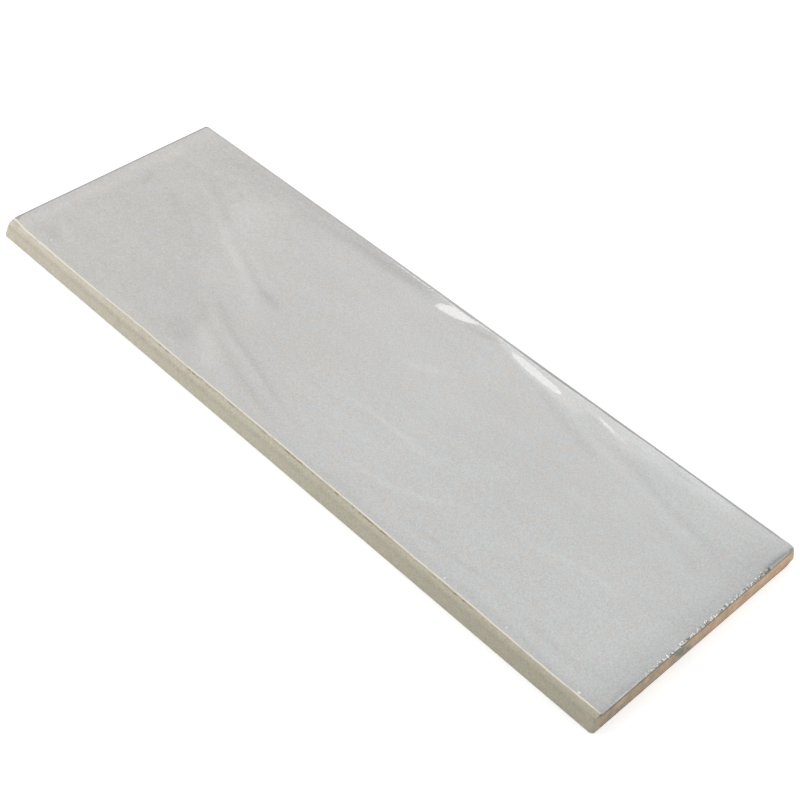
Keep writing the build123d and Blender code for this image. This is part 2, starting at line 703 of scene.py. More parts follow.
@dataclass(frozen=True)
class EndWear:
    """Chips, a glaze run and a worn lower corner at the plain end, sizes in millimetres."""

    reach: float = 3.0
    chip_count: int = 170
    chip_size: Pair = (0.22, 0.5)
    chip_depth: Pair = (0.04, 0.12)
    chip_stretch: Pair = (-32.0, 40.0)
    chip_inset: Pair = (0.0, 0.9)
    run_place: float = -9.0
    run_lean: float = 0.8
    run_width: float = 4.2
    run_length: float = 7.0
    run_fade: float = 0.6
    run_height: float = 0.12
    wall_skin: Pair = (0.4, 0.05)
    corner_lift: float = 1.4
    corner_reach: float = 5.0
    seed: int = 11

    def dents(self, sizes: TileSizes, points: np.ndarray) -> np.ndarray:
        """Chips along the arris.

        Args:
            sizes: the tile's sizes.
            points: rows of x, y and z.

        Returns:
            Heights below zero, one for each row.
        """
        draw = np.random.default_rng(self.seed)
        heights = np.zeros(len(points))
        for _ in range(self.chip_count):
            place = draw.uniform(*self.chip_stretch)
            size = draw.uniform(*self.chip_size)
            depth = draw.uniform(*self.chip_depth)
            spot = np.array([sizes.length / 2 - draw.uniform(*self.chip_inset), place, sizes.thickness])
            away = np.linalg.norm(points - spot, axis=1)
            heights = np.minimum(heights, -depth * bell(away, size))
        return heights

    def run(self, sizes: TileSizes, points: np.ndarray) -> np.ndarray:
        """Run of glaze down the wall.

        Args:
            sizes: the tile's sizes.
            points: rows of x, y and z.

        Returns:
            Heights, one for each row.
        """
        drop = sizes.thickness - points[:, 2]
        offset = points[:, 1] - self.run_place - self.run_lean * (drop - self.run_length / 2)
        bulge = bell(offset, self.run_width) * ease(drop, self.run_length, self.run_length * self.run_fade)
        return self.run_height * bulge * ease(sizes.length / 2 - points[:, 0], *self.wall_skin)

    def heights(self, sizes: TileSizes, points: np.ndarray) -> np.ndarray:
        """Chips and run together.

        Args:
            sizes: the tile's sizes.
            points: rows of x, y and z.

        Returns:
            Heights, one for each row.
        """
        near = points[:, 0] > sizes.length / 2 - self.reach
        total = np.zeros(len(points))
        total[near] = self.dents(sizes, points[near]) + self.run(sizes, points[near])
        return total

    def wear_corner(self, sizes: TileSizes, points: np.ndarray) -> np.ndarray:
        """Lifts the foot of the wall off the floor at the corner of the joint edge and the plain end.

        Args:
            sizes: the tile's sizes.
            points: points in an array whose last axis is x, y and z.

        Returns:
            The moved points, in the same shape.
        """
        away = np.hypot(points[..., 0] - sizes.length / 2, points[..., 1] - sizes.width / 2)
        lift = self.corner_lift * ease(away, self.corner_reach, 0.0)
        moved = points.copy()
        moved[..., 2] = lift + points[..., 2] * (1.0 - lift / sizes.thickness)
        return moved


@dataclass(frozen=True)
class FiringWarp:
    """How the joint edge drew in towards the cushioned end when the tile was fired, sizes in millimetres."""

    draw: float = 0.5
    start: float = 55.0
    run: float = 90.0
    depth: float = 30.0

    def bend(self, sizes: TileSizes, points: np.ndarray) -> np.ndarray:
        """Draws the edge in.

        Args:
            sizes: the tile's sizes.
            points: points in an array whose last axis is x, y and z.

        Returns:
            The moved points, in the same shape.
        """
        along = np.clip((-points[..., 0] - self.start) / self.run, 0.0, 1.0)
        across = ease(points[..., 1], sizes.width / 2 - self.depth, sizes.width / 2)
        moved = points.copy()
        moved[..., 1] -= self.draw * along * across
        return moved


@dataclass(frozen=True)
class RimShade:
    """Painted dark reflection where the cushioned edges turn down, fainter along the joint edge than at the
    end.
    """

    joint: Pair = (0.34, 0.66)
    joint_rise: Pair = (0.0, 70.0)
    turn: Pair = (0.02, 0.16)
    plain_fade: Pair = (3.0, 9.0)

    def along_joint(self, x: np.ndarray) -> np.ndarray:
        """Strength along the joint edge, by places along the tile."""
        return self.joint[0] + (self.joint[1] - self.joint[0]) * ease(x, *self.joint_rise)


@dataclass(frozen=True)
class Signal:
    """A number or a colour that runs through a node tree. Each sum on it adds a node."""

    wiring: "Wiring"
    socket: bpy.types.NodeSocket

    def __add__(self, other: Feed) -> "Signal":
        """This number and another."""
        return self.wiring.math(Sum.PLUS, self, other)

    def __sub__(self, other: Feed) -> "Signal":
        """This number less another."""
        return self.wiring.math(Sum.MINUS, self, other)

    def __rsub__(self, other: Feed) -> "Signal":
        """Another number less this one."""
        return self.wiring.math(Sum.MINUS, other, self)

    def __mul__(self, other: Feed) -> "Signal":
        """This number times another."""
        return self.wiring.math(Sum.TIMES, self, other)

    def __rtruediv__(self, other: Feed) -> "Signal":
        """Another number over this one."""
        return self.wiring.math(Sum.OVER, other, self)

    def __abs__(self) -> "Signal":
        """This number without its sign."""
        return self.wiring.math(Sum.UNSIGNED, self)

    def or_larger(self, other: Feed) -> "Signal":
        """The larger of this number and another."""
        return self.wiring.math(Sum.LARGER, self, other)

    def scaled(self, share: Feed) -> "Signal":
        """This colour or place, multiplied by a number."""
        return self.wiring.take("ShaderNodeVectorMath", {0: self, "Scale": share}, operation="SCALE")

    def span(self, low: Feed, high: Feed, to_low: Feed = 0.0, to_high: Feed = 1.0,
             how: Interp = Interp.SOFT) -> "Signal":
        """Maps this number's range, from low to high, onto another."""
        inputs = {"Value": self, "From Min": low, "From Max": high, "To Min": to_low, "To Max": to_high}
        return self.wiring.take("ShaderNodeMapRange", inputs, interpolation_type=how.value)


class Wiring:
    """A node tree, with short calls that add nodes and join them."""

    def __init__(self, tree: bpy.types.NodeTree) -> None:
        """Keeps the tree."""
        self.tree = tree

    def feed(self, socket: bpy.types.NodeSocket, value: Feed) -> None:
        """Links a socket to a signal, or sets its value.

        Args:
            socket: the input to feed.
            value: a signal, or a plain value.
        """
        if isinstance(value, Signal):
            self.tree.links.new(value.socket, socket)
        else:
            socket.default_value = value

    def add(self, kind: str, inputs: dict[str | int, Feed], **settings: object) -> bpy.types.Node:
        """Adds a node.

        Args:
            kind: Blender's name for the node.
            inputs: what feeds its inputs.
            settings: its other settings.

        Returns:
            The node.
        """
        node = self.tree.nodes.new(kind)
        for name, value in settings.items():
            setattr(node, name, value)
        for key, value in inputs.items():
            self.feed(node.inputs[key], value)
        return node

    def take(self, kind: str, inputs: dict[str | int, Feed], output: str | int = 0,
             **settings: object) -> Signal:
        """Adds a node and takes one of its outputs, by name or number."""
        return Signal(self, self.add(kind, inputs, **settings).outputs[output])

    def outputs(self, kind: str, inputs: dict[str | int, Feed], **settings: object) -> dict[str, Signal]:
        """Adds a node and takes all its outputs, by their names."""
        node = self.add(kind, inputs, **settings)
        return {socket.name: Signal(self, socket) for socket in node.outputs}

    def math(self, operation: Sum, first: Feed, second: Feed = 0.0) -> Signal:
        """Result of a sum of one or two numbers."""
        return self.take("ShaderNodeMath", {0: first, 1: second}, operation=operation.value)

    def blend(self, share: Feed, first: Feed, second: Feed) -> Signal:
        """Blend of two colours, by the share of the second one, which is kept between 0 and 1."""
        return self.take("ShaderNodeMix", {0: share, 6: first, 7: second}, 2, data_type="RGBA")

    def split(self, place: Signal) -> tuple[Signal, Signal, Signal]:
        """Coordinates of a place, as x, y and z."""
        parts = self.outputs("ShaderNodeSeparateXYZ", {"Vector": place})
        return parts["X"], parts["Y"], parts["Z"]

    def group(self, tree: bpy.types.NodeTree, inputs: dict[str, Feed]) -> dict[str, Signal]:
        """Places a node group, fed by its inputs' names, and takes its outputs by theirs."""
        return self.outputs("ShaderNodeGroup", inputs, node_tree=tree)


@dataclass(frozen=True)
class Ramp:
    """Maps a range of numbers, from low to high, onto another."""

    low: float
    high: float
    to_low: float = 0.0
    to_high: float = 1.0
    how: Interp = Interp.SOFT

    def of(self, value: Signal) -> Signal:
        """The mapped number."""
        return value.span(self.low, self.high, self.to_low, self.to_high, self.how)


def level_ramp(low: float, high: float, to_low: float = 0.0, to_high: float = 1.0) -> Ramp:
    """A ramp that passes straight from one value to the other.

    Args:
        low: start of the range.
        high: end of the range.
        to_low: result at the start.
        to_high: result at the end.

    Returns:
        The ramp.
    """
    return Ramp(low, high, to_low, to_high, Interp.STRAIGHT)


@dataclass(frozen=True)
class Grain:
    """Smooth noise over a surface and the ramp that maps it. Its size is that of one patch."""

    size: float
    ramp: Ramp = Ramp(0.3, 0.7)
    detail: float = 2.0
    roughness: float = 0.5
    warp: float = 0.0

    def raw(self, position: Signal, unit: Feed = 1.0) -> Signal:
        """The noise before it is mapped.

        Args:
            position: place on the surface, in millimetres.
            unit: what the size is counted in, in millimetres.

        Returns:
            Numbers of about 0 to 1.
        """
        inputs = {"Vector": position, "Scale": 1.0 / self.size / unit, "Detail": self.detail,
                  "Roughness": self.roughness, "Distortion": self.warp}
        return position.wiring.take("ShaderNodeTexNoise", inputs, noise_dimensions="3D")

    def over(self, position: Signal, unit: Feed = 1.0) -> Signal:
        """The noise after it is mapped, from the same inputs."""
        return self.ramp.of(self.raw(position, unit))


class EffectGroup(Wiring):
    """A new shader node group, with signals from its inputs."""

    def __init__(self, name: str, inputs: dict[str, Kind], outputs: dict[str, Kind]) -> None:
        """Makes the group and its sockets.

        Args:
            name: name of the group.
            inputs: name and kind of each input.
            outputs: name and kind of each output.
        """
        super().__init__(bpy.data.node_groups.new(name, "ShaderNodeTree"))
        for side, sockets in (("INPUT", inputs), ("OUTPUT", outputs)):
            for socket, kind in sockets.items():
                self.tree.interface.new_socket(name=socket, in_out=side, socket_type=kind.value)
        self.given = self.tree.nodes.new("NodeGroupInput")
        self.out = self.tree.nodes.new("NodeGroupOutput")

    def __getitem__(self, name: str) -> Signal:
        """Signal from one of the inputs."""
        return Signal(self, self.given.outputs[name])

    def put(self, name: str, value: Signal) -> None:
        """Sends a signal to one of the outputs."""
        self.feed(self.out.inputs[name], value)


@dataclass(frozen=True)
class KilnMottle:
    """Kiln mottle: soft patches, with finer grain inside them."""

    patches: Grain = Grain(1.0, detail=4.0, roughness=0.6, warp=0.4)
    fine: Grain = Grain(0.06, level_ramp(0.25, 0.75))

    def build(self) -> bpy.types.NodeTree:
        """Makes the group.

        Returns:
            The group, whose Mottle and Grain run from 0 to 1.
        """
        effect = EffectGroup("kiln_mottle", {"Position": Kind.PLACE, "Size": Kind.NUMBER},
                             {"Mottle": Kind.NUMBER, "Grain": Kind.NUMBER})
        effect.put("Mottle", self.patches.over(effect["Position"], effect["Size"]))
        effect.put("Grain", self.fine.over(effect["Position"], effect["Size"]))
        return effect.tree


@dataclass(frozen=True)
class RaggedEdge:
    """Ragged edge: a mask that passes from 0 to 1 where a distance crosses zero, along a wandering line."""

    swing: Grain = Grain(1.0, detail=3.0, roughness=0.65)
    mean: float = 0.5
    gain: float = 2.0

    def build(self) -> bpy.types.NodeTree:
        """Makes the group.

        Returns:
            The group, whose Mask is 1 on the positive side.
        """
        sockets = {"Position": Kind.PLACE, "Distance": Kind.NUMBER, "Wander": Kind.NUMBER,
                   "Size": Kind.NUMBER, "Softness": Kind.NUMBER}
        effect = EffectGroup("ragged_edge", sockets, {"Mask": Kind.NUMBER})
        swing = self.swing.raw(effect["Position"], effect["Size"]) - self.mean
        moved = effect["Distance"] + swing * effect["Wander"] * self.gain
        effect.put("Mask", moved.span(effect["Softness"] * -1.0, effect["Softness"]))
        return effect.tree


@dataclass(frozen=True)
class GlazeTone:
    """Grey glaze: warm towards one end and cool towards the other, with flowing veils and fine speckle."""

    mottle_size: float = 17.0
    ends: Ramp = level_ramp(-140.0, 110.0)
    patches: Ramp = level_ramp(0.0, 1.0, -0.2, 0.2)
    hues: Grain = Grain(2.4, level_ramp(0.3, 0.7, -0.65, 0.65), detail=1.0)
    flow_deg: float = 17.0
    flow_stretch: float = 0.25
    veil: Grain = Grain(9.0, Ramp(0.35, 0.65, -0.014, 0.014), detail=3.0, roughness=0.55, warp=0.8)
    speckle: Grain = Grain(0.48, level_ramp(0.3, 0.7, -0.10, 0.10), detail=1.0)
    curds: Grain = Grain(2.4, Ramp(0.35, 0.65, -0.04, 0.03), warp=2.0)
    curd_fade: Ramp = Ramp(-110.0, -30.0, 1.0, 0.15)

    def build(self, mottle: bpy.types.NodeTree) -> bpy.types.NodeTree:
        """Makes the group.

        Args:
            mottle: the kiln mottle's group.

        Returns:
            The group, with the glaze's Color and the Height of its grain.
        """
        sockets = {"Position": Kind.PLACE, "Tone": Kind.NUMBER, "Warm": Kind.COLOUR, "Cool": Kind.COLOUR}
        effect = EffectGroup("grey_glaze_tone", sockets, {"Color": Kind.COLOUR, "Height": Kind.NUMBER})
        position = effect["Position"]
        along, _, _ = effect.split(position)
        mottled = effect.group(mottle, {"Position": position, "Size": self.mottle_size})
        hue = self.ends.of(along) + self.patches.of(mottled["Mottle"]) + self.hues.over(position)
        tone = effect.blend(hue, effect["Warm"], effect["Cool"])
        turn = (0.0, 0.0, math.radians(self.flow_deg))
        flow = effect.take("ShaderNodeMapping", {"Vector": position, "Rotation": turn,
                                                 "Scale": (self.flow_stretch, 1.0, 1.0)})
        light = self.veil.over(flow) + self.speckle.over(position) + effect["Tone"]
        light = light + self.curds.over(position) * self.curd_fade.of(along)
        effect.put("Color", tone.scaled(light + 1.0))
        effect.put("Height", mottled["Grain"])
        return effect.tree


@dataclass(frozen=True)
class BodyTone:
    """Fired clay body: grainy, mottled between two tones, with darker pits."""

    mottle_size: float = 5.0
    pit_spread: float = 0.9
    pits: Ramp = Ramp(0.12, 0.30, 0.55, 0.0)
    sand: Grain = Grain(0.45, level_ramp(0.3, 0.7, 0.82, 1.18), detail=3.0, roughness=0.7)

    def build(self, mottle: bpy.types.NodeTree) -> bpy.types.NodeTree:
        """Makes the group.

        Args:
            mottle: the kiln mottle's group.

        Returns:
            The group, with the body's Color and the Height of its grain.
        """
        sockets = {"Position": Kind.PLACE, "Light": Kind.COLOUR, "Dark": Kind.COLOUR, "Pit": Kind.COLOUR}
        effect = EffectGroup("fired_body_tone", sockets, {"Color": Kind.COLOUR, "Height": Kind.NUMBER})
        position = effect["Position"]
        mottled = effect.group(mottle, {"Position": position, "Size": self.mottle_size})
        tone = effect.blend(mottled["Mottle"], effect["Dark"], effect["Light"])
        cells = effect.take("ShaderNodeTexVoronoi", {"Vector": position, "Scale": self.pit_spread},
                            "Distance", feature="F1")
        pit = self.pits.of(cells)
        rough = self.sand.raw(position)
        effect.put("Color", effect.blend(pit, tone.scaled(self.sand.ramp.of(rough)), effect["Pit"]))
        effect.put("Height", rough - pit)
        return effect.tree


@dataclass(frozen=True)
class NickGrains:
    """Arris nicks: pale grains where the glaze is chipped, partly fresh fracture and partly painted glints,
    and dark grains of painted shadow in the chips, along the plain end.
    """

    cell_spread: float = 1.6
    cell: Ramp = Ramp(0.42, 0.62, 1.0, 0.0)
    ragged: Grain = Grain(1.6, Ramp(0.3, 0.7, -0.5, 0.5))
    pale_line: float = 0.45
    chip_shadow_line: float = 0.1
    line: Ramp = Ramp(0.5, 0.8, 1.0, 0.0)
    begun: Ramp = Ramp(-34.0, -18.0)
    ended: Ramp = Ramp(30.0, 38.0, 1.0, 0.0)
    patches: Grain = Grain(7.0, Ramp(0.34, 0.5, 0.6, 1.0), detail=1.0)
    pale_pick: Ramp = Ramp(0.52, 0.56)
    chip_shadow_pick: Ramp = Ramp(0.46, 0.50, 1.0, 0.0)
    cluster_place: float = 33.3
    cluster: Ramp = Ramp(1.2, 2.4, 1.0, 0.0)
    crumbs: Grain = Grain(0.9, Ramp(0.35, 0.5, 0.4, 1.0))

    def build(self) -> bpy.types.NodeTree:
        """Makes the group.

        Returns:
            The group, with masks of the Pale and the Dark grains.
        """
        effect = EffectGroup("arris_nicks", {"Position": Kind.PLACE, "Rim": Kind.NUMBER},
                             {"Pale": Kind.NUMBER, "Dark": Kind.NUMBER})
        position = effect["Position"]
        _, across, _ = effect.split(position)
        cells = effect.outputs("ShaderNodeTexVoronoi", {"Vector": position, "Scale": self.cell_spread},
                               feature="F1")
        pick = effect.take("ShaderNodeSeparateColor", {"Color": cells["Color"]}, "Red")
        rim = effect["Rim"] + self.ragged.over(position)
        stretch = self.begun.of(across) * self.ended.of(across)
        shown = self.cell.of(cells["Distance"]) * (stretch * self.patches.over(position))
        inner = self.line.of(abs(rim - self.pale_line))
        effect.put("Pale", shown * (inner * self.pale_pick.of(pick)))
        sparse = shown * self.chip_shadow_pick.of(pick)
        dense = self.cluster.of(abs(across - self.cluster_place)) * self.crumbs.over(position)
        outer = self.line.of(abs(rim - self.chip_shadow_line))
        effect.put("Dark", outer * sparse.or_larger(dense))
        return effect.tree


@dataclass(frozen=True)
class SeamLine:
    """Seam break: a pale line that comes and goes along the shoulder of the nose."""

    gaps: Grain = Grain(6.0, Ramp(0.3, 0.5, 0.5, 1.0), detail=3.0, roughness=0.7)

    def build(self) -> bpy.types.NodeTree:
        """Makes the group.

        Returns:
            The group, whose Mask is 1 in the middle of the line.
        """
        sockets = {"Position": Kind.PLACE, "Distance": Kind.NUMBER, "Core": Kind.NUMBER,
                   "Reach": Kind.NUMBER}
        effect = EffectGroup("seam_break", sockets, {"Mask": Kind.NUMBER})
        band = abs(effect["Distance"]).span(effect["Core"], effect["Reach"], 1.0, 0.0)
        effect.put("Mask", band * self.gaps.over(effect["Position"]))
        return effect.tree


class TileEffects:
    """Shader node groups that the tile's finishes share."""

    def __init__(self) -> None:
        """Builds each group once."""
        self.mottle = KilnMottle().build()
        self.edge = RaggedEdge().build()
        self.glaze = GlazeTone().build(self.mottle)
        self.body = BodyTone().build(self.mottle)
        self.nicks = NickGrains().build()
        self.seam = SeamLine().build()


class FinishMaterial(Wiring):
    """A new material with its shader, its place on the tile in millimetres and the coordinates of that."""

    def __init__(self, name: str, effects: TileEffects) -> None:
        """Makes the material.

        Args:
            name: name of the material.
            effects: the shared node groups.
        """
        self.material = bpy.data.materials.new(name)
        self.material.use_nodes = True
        super().__init__(self.material.node_tree)
        self.effects = effects
        self.shader = self.tree.nodes["Principled BSDF"]
        self.position = self.take("ShaderNodeTexCoord", {}, "Object").scaled(1.0 / MM)
        self.x, self.y, self.z = self.split(self.position)

    def carried(self, name: str) -> Signal:
        """A value that the mesh carries at each point."""
        return self.take("ShaderNodeAttribute", {}, "Fac", attribute_name=name, attribute_type="GEOMETRY")

    def effect(self, tree: bpy.types.NodeTree, **inputs: Feed) -> dict[str, Signal]:
        """Places a shared group at this material's position, and takes its outputs by name."""
        return self.group(tree, {"Position": self.position, **inputs})

    def mottle(self, size: float) -> dict[str, Signal]:
        """Kiln mottle with patches of a size."""
        return self.effect(self.effects.mottle, Size=size)

    def rim(self, sizes: TileSizes) -> Signal:
        """Distance from the arris of the plain end, positive on the face and negative on the wall."""
        return (sizes.length / 2 - self.x) - (sizes.thickness - self.z)

    def coat(self, colour: Feed, roughness: Feed) -> None:
        """Gives the shader its colour and roughness."""
        self.feed(self.shader.inputs["Base Color"], colour)
        self.feed(self.shader.inputs["Roughness"], roughness)

    def bump(self, height: Signal, depth: float, strength: float) -> None:
        """Roughens the surface by a grain whose height of 1 stands for a depth in millimetres."""
        inputs = {"Height": height, "Strength": strength, "Distance": depth * MM}
        self.feed(self.shader.inputs["Normal"], self.take("ShaderNodeBump", inputs, "Normal"))


@dataclass(frozen=True)
class SeamBreak:
    """Pale line where the glaze breaks thin over the shoulder of the nose, sizes in millimetres."""

    colour: Colour = srgb(232, 225, 211)
    core: float = 0.15
    reach: Ramp = Ramp(-140.0, -90.0, 0.5, 0.36)

    def lay(self, finish: FinishMaterial, colour: Signal) -> Signal:
        """Lays the line over a colour.

        Args:
            finish: the material that shows it.
            colour: the colour below it.

        Returns:
            The new colour.
        """
        line = finish.effect(finish.effects.seam, Distance=finish.carried("seam_mm"), Core=self.core,
                             Reach=self.reach.of(finish.x))
        return finish.blend(line["Mask"], colour, self.colour)


@dataclass(frozen=True)
class ArrisNicks:
    """Chipped glaze along the arris of the plain end: pale grains partly painted glints, dark grains painted
    shadow in the chips.
    """

    pale: Colour = srgb(240, 238, 232)
    # dark: painted shadow in the chips
    dark: Colour = srgb(84, 86, 78)
    chip_shadow_share: float = 0.9

    def lay(self, finish: FinishMaterial, sizes: TileSizes, colour: Signal) -> Signal:
        """Lays the grains over a colour.

        Args:
            finish: the material that shows them.
            sizes: the tile's sizes.
            colour: the colour below them.

        Returns:
            The new colour.
        """
        nicks = finish.effect(finish.effects.nicks, Rim=finish.rim(sizes))
        # painted shadow in the chips, then pale grains that are partly painted glints
        darkened = finish.blend(nicks["Dark"] * self.chip_shadow_share, colour, self.dark)
        return finish.blend(nicks["Pale"], darkened, self.pale)


@dataclass(frozen=True)
class ArrisLine:
    """Pale line where the glaze stops at the plain end, sizes in millimetres."""

    colour: Colour = srgb(222, 220, 213)
    place: float = 0.25
    band: Ramp = Ramp(0.14, 0.40, 0.5, 0.0)
    stretch: Ramp = Ramp(-14.0, 2.0, 1.0, 0.25)
    gaps: Grain = Grain(2.2, Ramp(0.4, 0.6, 0.15, 1.0), detail=3.0)

    def lay(self, finish: FinishMaterial, sizes: TileSizes, colour: Signal) -> Signal:
        """Lays the line over a colour.

        Args:
            finish: the material that shows it.
            sizes: the tile's sizes.
            colour: the colour below it.

        Returns:
            The new colour.
        """
        band = self.band.of(abs(finish.rim(sizes) - self.place))
        broken = self.stretch.of(finish.y) * self.gaps.over(finish.position)
        return finish.blend(band * broken, colour, self.colour)


@dataclass(frozen=True)
class Fleck:
    """A pinhead of pale body that shows through the glaze, sizes in millimetres."""

    place: Pair
    radius: float
    core: float = 0.3
    strength: float = 0.7

    def mask(self, finish: FinishMaterial, height: float) -> Signal:
        """Mask of the fleck.

        Args:
            finish: the material that shows it.
            height: height of the face above the back.

        Returns:
            The mask, strongest in the middle of the fleck.
        """
        inputs = {0: finish.position, 1: (*self.place, height)}
        away = finish.take("ShaderNodeVectorMath", inputs, "Value", operation="DISTANCE")
        return away.span(self.core * self.radius, self.radius, self.strength, 0.0)


@dataclass(frozen=True)
class GlazeEdge:
    """How the edge of a patch of glaze runs: its wander, the size of its swings and its softness."""

    wander: float
    size: float
    softness: float

    def mask(self, finish: FinishMaterial, distance: Signal) -> Signal:
        """Mask of the patch, 1 where the distance is positive."""
        given = {"Distance": distance, "Wander": self.wander, "Size": self.size, "Softness": self.softness}
        return finish.effect(finish.effects.edge, **given)["Mask"]


@dataclass(frozen=True)
class GreyGlaze:
    """Glossy grey glaze of the face and of the cushioned edges."""

    sizes: TileSizes
    warm: Colour = srgb(196, 193, 189)
    cool: Colour = srgb(193, 194, 194)
    # turned: painted rim shade, a dark reflection painted into the glaze where the cushioned edges turn down
    turned: Colour = srgb(126, 128, 126)
    polish_size: float = 8.0
    polish: Ramp = Ramp(0.0, 1.0, 0.05, 0.09)
    grain_depth: float = 0.01
    grain_strength: float = 0.25
    arris: ArrisLine = ArrisLine()
    nicks: ArrisNicks = ArrisNicks()
    seam: SeamBreak = SeamBreak()
    flecks: tuple[Fleck, ...] = (
        Fleck((-128.2, -43.2), 0.55),
        Fleck((140.4, -46.6), 0.75),
        Fleck((83.8, -46.0), 0.45),
        Fleck((109.8, -45.4), 0.45),
    )

    def build(self, effects: TileEffects) -> bpy.types.Material:
        """Makes the material.

        Args:
            effects: the shared node groups.

        Returns:
            The material.
        """
        finish = FinishMaterial("grey_glaze", effects)
        tone = finish.effect(effects.glaze, Tone=finish.carried("glaze_tone"), Warm=self.warm, Cool=self.cool)
        # painted reflection: darkens the glaze at the rims where the cushioned edges turn away
        colour = finish.blend(finish.carried("edge_shade"), tone["Color"], self.turned)
        colour = self.arris.lay(finish, self.sizes, colour)
        colour = self.nicks.lay(finish, self.sizes, colour)
        for fleck in self.flecks:
            colour = finish.blend(fleck.mask(finish, self.sizes.thickness), colour, self.nicks.pale)
        colour = self.seam.lay(finish, colour)
        finish.coat(colour, self.polish.of(finish.mottle(self.polish_size)["Mottle"]))
        finish.bump(tone["Height"], self.grain_depth, self.grain_strength)
        return finish.material


@dataclass(frozen=True)
class NoseGlaze:
    """Thin khaki glaze over the bullnose, places and sizes in millimetres."""

    sizes: TileSizes
    # darker towards the near end: partly the glaze's own colour, partly painted shade of the left lamp's
    # falloff
    far: Colour = srgb(199, 191, 174)
    middle: Colour = srgb(187, 182, 162)
    near: Colour = srgb(167, 162, 143)
    body: Colour = srgb(176, 156, 136)
    stain: Colour = srgb(138, 120, 92)
    mottle_size: float = 11.0
    patches: Ramp = level_ramp(0.0, 1.0, 0.97, 1.03)
    speckle: Ramp = level_ramp(0.0, 1.0, -0.17, 0.17)
    # painted light on the shoulder of the nose and painted shade at the waist below it
    shoulder: Ramp = Ramp(5.9, 7.4)
    painted_shoulder_light: Ramp = Ramp(-10.0, 110.0, 0.0, 0.15)
    waist_foot: Ramp = Ramp(3.8, 5.0)
    waist_top: Ramp = Ramp(5.9, 6.7, 1.0, 0.0)
    painted_waist_shade: Ramp = Ramp(-60.0, 60.0, -0.09, -0.054)
    bare: Grain = Grain(3.0, Ramp(0.5, 0.75, 0.0, 0.35), detail=3.0)
    stain_place: float = 0.62
    stain_band: Ramp = Ramp(0.08, 0.30, 1.0, 0.0)
    stain_crumbs: Grain = Grain(1.8, Ramp(0.42, 0.6, 0.1, 1.0))
    polish: Ramp = Ramp(0.0, 1.0, 0.30, 0.45)
    grain_depth: float = 0.03
    grain_strength: float = 0.4
    seam: SeamBreak = SeamBreak()

    def tone(self, finish: FinishMaterial) -> Signal:
        """Colour along the nose, from its far end to its near end: darker towards the near end, partly the
        glaze's own colour and partly painted shade where the left lamp's light falls off.

        Args:
            finish: the material that shows it.

        Returns:
            The colour.
        """
        half = self.sizes.length / 2
        first = level_ramp(-half, 0.0).of(finish.x)
        second = level_ramp(0.0, half).of(finish.x)
        return finish.blend(second, finish.blend(first, self.far, self.middle), self.near)

    def thickness(self, finish: FinishMaterial) -> Signal:
        """Painted light and shade up the nose: lighter on the shoulder and darker at the waist below it.

        Args:
            finish: the material that shows it.

        Returns:
            The share by which it is lighter.
        """
        # painted light on the shoulder
        thin = self.shoulder.of(finish.z) * self.painted_shoulder_light.of(finish.x)
        band = self.waist_foot.of(finish.z) * self.waist_top.of(finish.z)
        return thin + band * self.painted_waist_shade.of(finish.x)

    def stain_line(self, finish: FinishMaterial) -> Signal:
        """Mask of the dark line below the seam, 1 in its middle."""
        band = self.stain_band.of(abs(finish.carried("seam_mm") + self.stain_place))
        return band * finish.carried("seam_stain") * self.stain_crumbs.over(finish.position)

    def build(self, effects: TileEffects) -> bpy.types.Material:
        """Makes the material.

        Args:
            effects: the shared node groups.

        Returns:
            The material.
        """
        finish = FinishMaterial("nose_glaze", effects)
        mottle = finish.mottle(self.mottle_size)
        light = self.patches.of(mottle["Mottle"]) + self.speckle.of(mottle["Grain"])
        # the tone is scaled by the painted light and shade up the nose
        colour = self.tone(finish).scaled(light + self.thickness(finish))
        colour = finish.blend(self.bare.over(finish.position), colour, self.body)
        colour = finish.blend(self.stain_line(finish), colour, self.stain)
        finish.coat(self.seam.lay(finish, colour), self.polish.of(mottle["Mottle"]))
        finish.bump(mottle["Grain"], self.grain_depth, self.grain_strength)
        return finish.material


